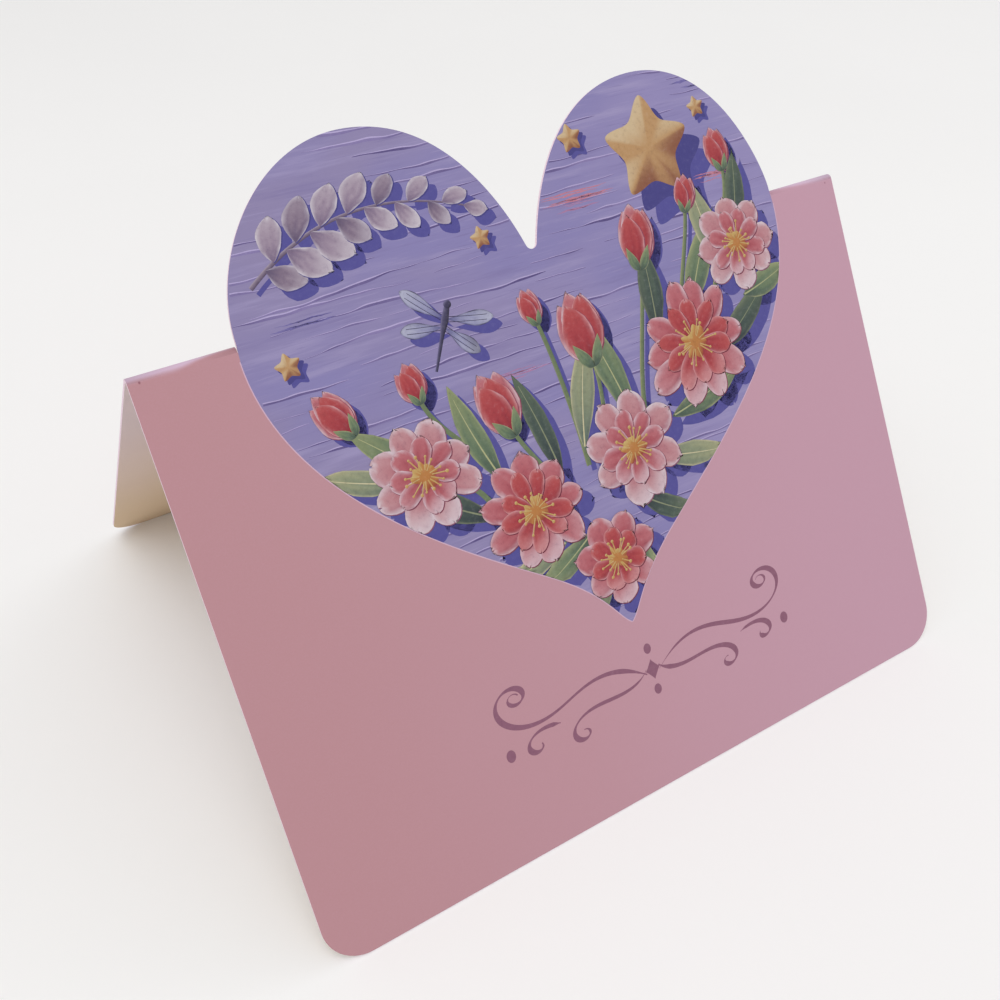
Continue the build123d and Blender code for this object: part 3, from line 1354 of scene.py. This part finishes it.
@dataclass(frozen=True)
class Dragonfly:
    """A small dragonfly with four pale wings."""

    centre: tuple[float, float] = (-13.5, 66.5)
    span: float = 6.4
    lean: float = math.radians(62)
    wings: tuple[tuple[float, float, float], ...] = (
        (-0.9, 1.95, 0.86), (-0.9, -1.95, 0.86), (0.0, 1.32, 1.0), (0.0, -1.32, 1.0),
    )
    wing_width: float = 1.9
    veins: tuple[float, float] = (-0.16, 0.16)
    cast: tuple[float, float] = (0.9, -1.2)

    def paint(self, film: InkFilm, level: float, rng: np.random.Generator) -> None:
        """Adds the shadow, the wings, the body and the head.

        Args:
            film: Where it goes.
            level: Its level over the card.
            rng: Where its irregularities come from.
        """
        middle = np.array(self.centre) * MM
        ahead = np.array([math.cos(self.lean), math.sin(self.lean)])
        cast = np.array(self.cast) * MM
        for place, spread, size in self.wings:
            root, turn = middle + ahead * place * MM, self.lean + spread
            wing = Blade(self.span * size * MM, self.wing_width * MM, 0.68, 0.7, -0.04 * np.sign(spread))
            wing.paint(film.shadows, root + cast, turn, Palette.CAST, Tier.SHADOW.value, rng)
            wing.paint(film, root, turn, Palette.WING, level, rng)
            for vein in self.veins:
                aside = np.full(8, vein * self.wing_width * MM)
                path = wing.spine(root, turn, np.linspace(0.05, 0.86, 8), aside)
                stroke(film, path, np.full(8, 0.07 * MM), (Palette.WING.rim,) * 3, level + 0.4)
            level += 1
        tail = middle + np.linspace(1.4, -6.2, 16)[:, None] * MM * ahead
        width = np.interp(np.linspace(0, 1, 16), [0, 0.2, 0.45, 1], [0.7, 1.0, 0.5, 0.32]) * MM
        stroke(film, tail, width, Palette.BODY, level)
        head = ragged_oval(1.0 * MM, 1.0 * MM, 0, 0.0, rng, 20)
        puff(film, middle + ahead * 1.8 * MM, head, Palette.BODY, level + 1)


@dataclass(frozen=True)
class Star:
    """A plump five-pointed star, whose reach follows the superformula with ten quarter waves to a turn."""

    centre: tuple[float, float]
    radius: float
    turn: float = 0.25
    cast: tuple[float, float] = (3.2, -4.3)
    power: float = 1.75
    depth: float = 5.2

    def rim(self, grow: float = 1.0) -> np.ndarray:
        """Its outline: the reach at each angle is a power of the sum of two powered quarter waves.

        Args:
            grow: How many times bigger it is drawn.

        Returns:
            Points about its middle, counter-clockwise.
        """
        angle = np.linspace(0, 2 * math.pi, 120, endpoint=False)
        quarter = 1.25 * (angle - self.turn)
        powers = np.abs(np.cos(quarter)) ** self.power + np.abs(np.sin(quarter)) ** self.power
        reach = powers**-self.depth
        return np.stack([np.cos(angle), np.sin(angle)], -1) * reach[:, None] * self.radius * MM * grow

    def paint(self, film: InkFilm, level: float) -> None:
        """Adds the star and its shadow, drawn out away from the light.

        Args:
            film: Where it goes.
            level: Its level over the card.
        """
        middle = np.array(self.centre) * MM
        for share, ink in ((1.0, Palette.CAST), (0.5, Palette.CAST_DEEP)):
            cast = middle + np.array(self.cast) * share * MM
            puff(film.shadows, cast, self.rim(1.04), (ink,) * 3, Tier.SHADOW.value + 1 - share, rings=4)
        puff(film, middle, self.rim(), Palette.GOLD, level, 0.8)


@dataclass(frozen=True)
class Picture:
    """The print on the heart: a combed ground, a silver twig, stars, a dragonfly and a garland."""

    sheet: Sheet
    heart: Heart
    mask: HeartMask

    def ground(self) -> None:
        """Lays the ground: rings that grow from the hub to the heart's outline."""
        outline = self.heart.whole(self.sheet.bend_length / 2)
        share = np.linspace(0, 1, 12)[:, None]
        hub = self.mask.hub
        film = InkFilm("heart_ground", self.sheet)
        film.add(hub[0] + share * (outline[:, 0] - hub[0]), hub[1] + share * (outline[:, 1] - hub[1]),
                 CombedGround().lilac, Tier.GROUND.value, closed=True)
        film.build(CombedGround().build(), "heart_print")

    def border(self) -> None:
        """Lays the fine pale line beside the heart's flanks: a ribbon half under the ground."""
        film = InkFilm("heart_border", self.sheet)
        for flank in (self.heart.right_flank, self.heart.left_flank):
            line = self.heart.flank_side(flank) + [0, self.heart.fold]
            stroke(film, line, np.full(len(line), 0.26 * MM), (Palette.BORDER,) * 3, Tier.GROUND.value - 3)
        film.build(PictureInk("border_ink", 0.08).build(), "heart_print")

    def combing(self, film: InkFilm, rng: np.random.Generator) -> None:
        """Adds the ridges: nearly level lines that wander and vanish, each with a pale line above it.

        Args:
            film: Where they go.
            rng: Where their places and waves come from.
        """
        places = np.linspace(-39, 39, 260) * MM
        for number, height in enumerate(np.arange(25, 91, 1.75)):
            tilt, seed = rng.normal(0.012, 0.008), rng.uniform(-0.5, 0.5)
            line = (height + seed) * MM + tilt * places + 0.34 * MM * wander(places / (70 * MM), rng, 6, 16)
            width = np.clip(0.1 + 0.17 * wander(places / (45 * MM), rng, 5, 16), 0.0, 0.34) * MM
            strong = np.clip(0.55 + 0.6 * wander(places / (50 * MM), rng, 4, 8), 0, 1)
            shown = self.mask.inside(places, line) & (width > 0.03 * MM)
            for run in np.split(np.arange(places.size), np.nonzero(np.diff(shown.astype(int)))[0] + 1):
                if shown[run[0]] and run.size > 6:
                    path = np.stack([places[run], line[run]], -1)
                    dark = blended(Palette.RIDGE[1], Palette.RIDGE[2], strong[run])
                    self.ridge(film, path, width[run], dark, Tier.COMBING.value + 0.02 * number)

    @staticmethod
    def ridge(film: InkFilm, path: np.ndarray, width: np.ndarray, dark: np.ndarray, level: float) -> None:
        """Adds one ridge: a dark ribbon and, above it, a pale one.

        Args:
            film: Where it goes.
            path: Points of u and v.
            width: The dark ribbon's width at each point.
            dark: Its colour at each point.
            level: Its level over the card.
        """
        for lift, share, ink, step in ((0.0, 1.0, dark, 1.0), (0.62, 0.8, Palette.RIDGE[0], 0.0)):
            across = np.array([-0.5, 0.5])
            v = path[:, 1, None] + width[:, None] * (lift + across * share)
            u = np.broadcast_to(path[:, 0, None], v.shape)
            film.add(u, v, np.broadcast_to(np.asarray(ink).reshape(-1, 1, 3), (*v.shape, 3)), level + step)

    def twig(self, film: InkFilm, rng: np.random.Generator) -> None:
        """Adds a silver twig: a bent stem whose round leaves get smaller, and their shadows.

        Args:
            film: Where it goes.
            rng: Where its irregularities come from.
        """
        ends = np.array([(-34.5, 75.5), (-27.5, 80.5), (-18.5, 83.0), (-7.0, 78.5)]) * MM
        stem = bezier(ends, 40)
        width = np.linspace(0.55, 0.2, 40) * MM
        stem_cast, cast, line = (np.array(place) * MM for place in ((0.6, -0.8), (0.8, -1.2), (0.08, -0.1)))
        stroke(film.shadows, stem + stem_cast, width, (Palette.CAST,) * 3, Tier.SHADOW.value + 0.5)
        stroke(film, stem, width, Palette.TWIG, Tier.MIST.value)
        ahead = np.gradient(stem, axis=0)
        heading = np.arctan2(ahead[:, 1], ahead[:, 0])
        level = Tier.MIST.value + 1
        for number, place in enumerate(np.linspace(4, 39, 15).astype(int)):
            side = 1 if number % 2 else -1
            spread = side * np.interp(place, [0, 34, 39], [1.12, 0.9, 0.1]) + rng.normal(0, 0.07)
            size = np.interp(place, [0, 12, 39], [4.6, 5.4, 3.0]) * MM * rng.uniform(0.93, 1.07)
            leaf = Blade(size, size * 0.62, 0.56, 0.66, -0.14 * side, 0.05, int(rng.integers(1 << 20)))
            base, turn = stem[place], heading[place] + spread
            tint = Palette.SILVER if number % 3 else Palette.PEWTER
            leaf.paint(film.shadows, base + cast, turn, Palette.CAST, Tier.SHADOW.value, rng, 0.08 * MM)
            leaf.paint(film, base + line, turn, Palette.CAST_DEEP, level - 0.5, rng, 0.05 * MM)
            leaf.paint(film, base, turn, tint, level, rng)
            level += 1

    def dry_brush(self, film: InkFilm, rng: np.random.Generator) -> None:
        """Adds bundles of thin dry streaks: coral beside the star, and blue at the sides.

        Args:
            film: Where they go.
            rng: Where the streaks come from.
        """
        rose, haze, blue = linear(188, 122, 142), linear(168, 122, 160), linear(112, 104, 164)
        bundles = (
            (8.5, 76.0, 11.0, rose), (7.6, 75.3, 8.0, haze), (30.5, 74.2, 7.0, rose),
            (-29.5, 70.6, 9.0, blue), (29.8, 86.0, 8.0, blue), (-6.5, 57.8, 9.0, haze),
        )
        along = np.linspace(-0.5, 0.5, 24)
        for u, v, reach, ink in bundles:
            for _ in range(5):
                start = u + rng.normal(0, 0.7) + reach * rng.uniform(0.5, 1.0) * along
                height = v + rng.normal(0, 0.38) + 0.05 * wander(along * 1.5, rng, 3, 5)
                width = rng.uniform(0.08, 0.24) * np.cos(along * math.pi) ** 0.7
                width = width * (1 + 0.3 * wander(along * 4, rng, 3, 5))
                path = np.stack([start, height], -1) * MM
                stroke(film, path, np.clip(width, 0.02, 1) * MM, (ink,) * 3, Tier.SHADOW.value + 0.5)

    def garland(self, greens: InkFilm, film: InkFilm, rng: np.random.Generator) -> None:
        """Adds the leaves, the tulips and buds on their stems, and the open flowers over them.

        Args:
            greens: Where the leaves, stems and buds go.
            film: Where the open flowers go.
            rng: Where the irregularities come from.
        """
        sage, moss, pine = Palette.SAGE, Palette.MOSS, Palette.PINE
        leaves = (
            Leaf((-14, 42), 15, 3.6, 152, -0.12, pine), Leaf((-20, 48), 13, 3.8, 128, 0.1, moss),
            Leaf((-24, 50), 11, 3.2, 165, -0.1, sage), Leaf((-12, 46), 13, 3.2, 112, -0.1, moss),
            Leaf((-4, 44), 14, 3.0, 98, 0.08, pine), Leaf((0, 46), 15, 3.4, 78, -0.1, sage),
            Leaf((8.6, 46), 18, 3.8, 101, 0.08, moss), Leaf((15, 56), 13, 3.4, 82, 0.08, pine),
            Leaf((21, 58), 14, 3.8, 66, -0.12, moss), Leaf((27, 62), 13, 3.6, 92, 0.1, sage),
            Leaf((31, 66), 11, 3.2, 70, 0.1, pine), Leaf((24, 52), 12, 3.8, 28, 0.12, pine),
            Leaf((30, 58), 9, 3.4, 10, 0.1, moss), Leaf((14, 46), 13, 3.8, 8, 0.12, moss),
            Leaf((10, 42), 12, 3.4, -18, 0.1, sage), Leaf((6, 38), 10, 3.2, -40, 0.14, pine),
            Leaf((-2, 36), 11, 3.2, 212, -0.1, moss), Leaf((-6, 36), 10, 3.0, 190, 0.1, sage),
            Leaf((-1, 34), 9, 2.8, 250, 0.08, pine), Leaf((3, 34), 9, 2.8, 292, -0.08, moss),
        )
        for number, leaf in enumerate(leaves):
            leaf.paint(greens, Tier.LEAF.value + 0.5 * number, rng)
        cups = (
            Cup((4.5, 56.5), 9.5, 97, (3, 40)), Cup((-9.0, 51.5), 8.5, 108, (-4, 38)),
            Cup((15.0, 66.0), 8.0, 84, (10, 46)), Cup((-28.5, 57.5), 6.5, 122, (-14, 42)),
            Cup((31.5, 75.0), 5.6, 96, (24, 54)), Cup((-1.8, 63.0), 4.6, 102, (0, 44)),
            Cup((24.0, 71.0), 4.8, 78, (18, 52)), Cup((-19.5, 58.5), 5.0, 100, (-12, 44)),
        )
        for cup in cups:
            cup.paint(greens, Tier.BLOOM.value - 4, rng)
        blooms = (
            Bloom((-21.6, 50.0), 7.0, 8, 2, 0.3, Palette.BLUSH, Palette.ROSE),
            Bloom((31.0, 65.0), 6.6, 8, 2, 0.8, Palette.BLUSH, Palette.ROSE),
            Bloom((0.4, 31.4), 6.3, 7, 2, 0.2, Palette.ROSE, Palette.CORAL),
            Bloom((-9.0, 41.2), 7.4, 9, 2, 0.1, Palette.ROSE, Palette.CORAL),
            Bloom((7.0, 44.0), 7.4, 8, 2, 0.5, Palette.BLUSH, Palette.ROSE),
            Bloom((20.4, 54.2), 8.6, 10, 2, 0.0, Palette.ROSE, Palette.CORAL),
        )
        for number, bloom in enumerate(blooms):
            bloom.paint(film, Tier.BLOOM.value + 8 + 4 * number, rng)

    def build(self) -> None:
        """Builds the ground and its border, and over them the ridges, shadows, sky, leaves and flowers."""
        rng = np.random.default_rng(SEED)
        self.ground()
        self.border()
        ridges = InkFilm("heart_ridges", self.sheet, self.mask)
        self.combing(ridges, rng)
        ridges.build(PictureInk("ridge_ink", 0.1).build(), "heart_print")
        shadows = InkFilm("heart_shadows", self.sheet, self.mask)
        sky, greens, flowers = (InkFilm(name, self.sheet, self.mask, shadows)
                                for name in ("heart_sky", "heart_leaves", "heart_flowers"))
        self.dry_brush(sky, rng)
        self.twig(sky, rng)
        Star((20.8, 79.6), 6.6).paint(sky, Tier.MIST.value)
        for u, v, radius in ((29.6, 83.2, 1.4), (9.6, 83.0, 1.8), (-6.0, 74.4, 1.4), (-33.2, 66.5, 1.6)):
            Star((u, v), radius, 0.4, (0.7, -0.9)).paint(sky, Tier.MIST.value)
        Dragonfly().paint(sky, Tier.STEM.value, rng)
        self.garland(greens, flowers, rng)
        ink = PictureInk().build()
        shadows.build(PictureInk("shadow_ink", 0.08).build(), "heart_print")
        for film in (sky, greens, flowers):
            film.build(ink, "heart_print")


@dataclass(frozen=True)
class Flourish:
    """A pen scroll under the heart: two mirrored halves of three curls, with a diamond and dots."""

    sheet: Sheet
    centre: tuple[float, float] = (1.0, 15.6)
    nib: float = math.radians(35)
    thin: float = 0.22
    thick: float = 0.8
    stretch: tuple[float, float] = (1.13, 0.86)
    upper_turns: tuple[float, ...] = (-0.02, -0.12, -0.16, -0.06, 0.10, 0.18, 0.24, 0.36, 0.62, 1.0, 1.5)
    lower_turns: tuple[float, ...] = (0.30, 0.22, 0.12, -0.02, -0.16, -0.3, -0.6, -1.1, -1.8)
    curl_turns: tuple[float, ...] = (-0.1, -0.25, -0.5, -1.0, -1.7)
    diamond_size: float = 1.4
    dots: tuple[tuple[float, float, float], ...] = (
        (0, 2.9, 0.7), (0, -2.8, 0.7), (22.6, -1.9, 0.8), (-22.6, -1.9, 0.8),
    )

    def scroll(self, turns: tuple, length: float, start: tuple[float, float], heading: float) -> np.ndarray:
        """Draws a path whose heading is the running sum of its curvature.

        Args:
            turns: The curvature, in radians for each millimetre, at even places along the path.
            length: The path's length in millimetres.
            start: Where it starts.
            heading: The way it sets out.

        Returns:
            Points in millimetres about the scroll's middle.
        """
        along = np.linspace(0, 1, 120)
        bend = np.interp(along, np.linspace(0, 1, len(turns)), turns)
        step = length / (along.size - 1)
        way = heading + np.concatenate([[0], np.cumsum((bend[1:] + bend[:-1]) / 2)]) * step
        path = np.stack([np.cos(way), np.sin(way)], -1) * step
        return np.array(start) + np.vstack([[0, 0], np.cumsum((path[1:] + path[:-1]) / 2, axis=0)])

    def pen(self, film: InkFilm, path: np.ndarray, level: float) -> None:
        """Inks a path with a broad nib: widest across the nib's edge, and drawn to points at its ends.

        Args:
            film: Where it goes.
            path: Points in millimetres about the scroll's middle.
            level: Its level over the card.
        """
        ahead = np.gradient(path, axis=0)
        way = np.arctan2(ahead[:, 1], ahead[:, 0])
        share = np.linspace(0, 1, len(path))
        ends = np.clip(np.minimum(share, 1 - share) * 9, 0.25, 1)
        width = (self.thin + (self.thick - self.thin) * np.abs(np.sin(way - self.nib)) ** 1.5) * ends
        stroke(film, (path + self.centre) * MM, width * MM, (Palette.MAUVE,) * 3, level)

    def build(self) -> None:
        """Builds both halves, the diamond between them and the dots."""
        film = InkFilm("flourish", self.sheet)
        upper = self.scroll(self.upper_turns, 34, (0.9, -0.4), 0.75)
        lower = self.scroll(self.lower_turns, 17, (0.9, 0.3), -0.95)
        curl = self.scroll(self.curl_turns, 8.5, (13.2, -1.0), 0.35)
        for side in (1, -1):
            for number, path in enumerate((upper, lower, curl)):
                self.pen(film, path * self.stretch * [side, 1], Tier.MARK.value + number + 0.3 * side)
        angle = np.linspace(0, 2 * math.pi, 33)[:-1]
        oval = np.stack([0.8 * np.cos(angle), np.sin(angle)], -1)
        pointed = oval / (np.abs(np.cos(angle)) ** 0.8 + np.abs(np.sin(angle)) ** 0.8)[:, None]
        marks = [(0, 0, self.diamond_size, pointed), *((*dot, oval) for dot in self.dots)]
        for u, v, size, rim in marks:
            middle = (np.array([u, v]) + self.centre) * MM
            puff(film, middle, rim * size * MM, (Palette.MAUVE,) * 3, Tier.MARK.value + 5)
        film.build(PictureInk("mauve_ink", 0.12).build(), "mauve_print")


@dataclass(frozen=True)
class Lamp:
    """A square soft light: where it hangs, the length of its side, its power in watts, and its colour."""

    name: str
    place: tuple[float, float, float]
    size: float
    power: float
    colour: tuple[float, float, float]

    def hang(self, aim: tuple[float, float, float]) -> None:
        """Hangs the light so that it faces a point.

        Args:
            aim: The point.
        """
        data = bpy.data.lights.new(self.name, "AREA")
        data.size, data.energy, data.color = self.size, self.power, self.colour
        lamp = bpy.data.objects.new(self.name, data)
        lamp.location = self.place
        lamp.rotation_euler = (Vector(aim) - Vector(self.place)).to_track_quat("-Z", "Y").to_euler()
        bpy.context.scene.collection.objects.link(lamp)


@dataclass(frozen=True)
class Studio:
    """The camera at the photographed angle, and soft plain light."""

    place: tuple[float, float, float] = (-66.6 * MM, -92.7 * MM, 121.9 * MM)
    heading: float = math.radians(32.73)
    dip: float = math.radians(42.28)
    roll: float = math.radians(2.18)
    lens_mm: float = 38.06
    sensor_mm: float = 36.0
    shift: tuple[float, float] = (0.026, -0.0056)
    room: tuple[float, float, float] = (1.0, 0.99, 0.98)
    room_strength: float = 0.68
    aim: tuple[float, float, float] = (0, 0, 0.03)
    key: Lamp = Lamp("key", (-0.22, -0.2, 0.85), 0.6, 3.0, (1.0, 0.99, 0.98))
    side: Lamp = Lamp("side", (0.7, 0.1, 0.5), 0.5, 0.7, (0.97, 0.97, 1.0))

    def camera(self) -> None:
        """Sets the camera: heading from +Y towards +X, then down by the dip, then rolled about its view."""
        sin_h, cos_h = math.sin(self.heading), math.cos(self.heading)
        sin_d, cos_d = math.sin(self.dip), math.cos(self.dip)
        view = Vector((sin_h * cos_d, cos_h * cos_d, -sin_d))
        level = Vector((cos_h, -sin_h, 0))
        up = Vector((sin_h * sin_d, cos_h * sin_d, cos_d))
        right = level * math.cos(self.roll) + up * math.sin(self.roll)
        above = right.cross(view)
        data = bpy.data.cameras.new("camera")
        data.lens, data.sensor_width = self.lens_mm, self.sensor_mm
        data.shift_x, data.shift_y = self.shift
        data.clip_start, data.clip_end = 0.005, 20
        camera = bpy.data.objects.new("camera", data)
        turned = Matrix((right, above, -view)).transposed().to_4x4()
        camera.matrix_world = Matrix.Translation(self.place) @ turned
        bpy.context.scene.collection.objects.link(camera)
        bpy.context.scene.camera = camera

    def light(self) -> None:
        """Fills the room with white, and adds a key light in front and a weaker one at the right."""
        world = bpy.data.worlds.new("studio")
        world.use_nodes = True
        background = world.node_tree.nodes["Background"]
        background.inputs["Color"].default_value = (*self.room, 1)
        background.inputs["Strength"].default_value = self.room_strength
        bpy.context.scene.world = world
        self.key.hang(self.aim)
        self.side.hang(self.aim)
        bpy.context.scene.view_settings.view_transform = "Standard"


def main() -> None:
    """Builds the card, its print, the floor, the lights and the camera."""
    logging.basicConfig(level=logging.INFO, format="%(name)s: %(message)s")
    sheet, heart = Sheet(), Heart()
    Card(sheet, heart).build()

    mask = HeartMask.of(heart, sheet.bend_length / 2)
    Picture(sheet, heart, mask).build()
    Flourish(sheet).build()

    Floor().build()
    studio = Studio()
    studio.camera()
    studio.light()


if __name__ == "__main__":
    main()
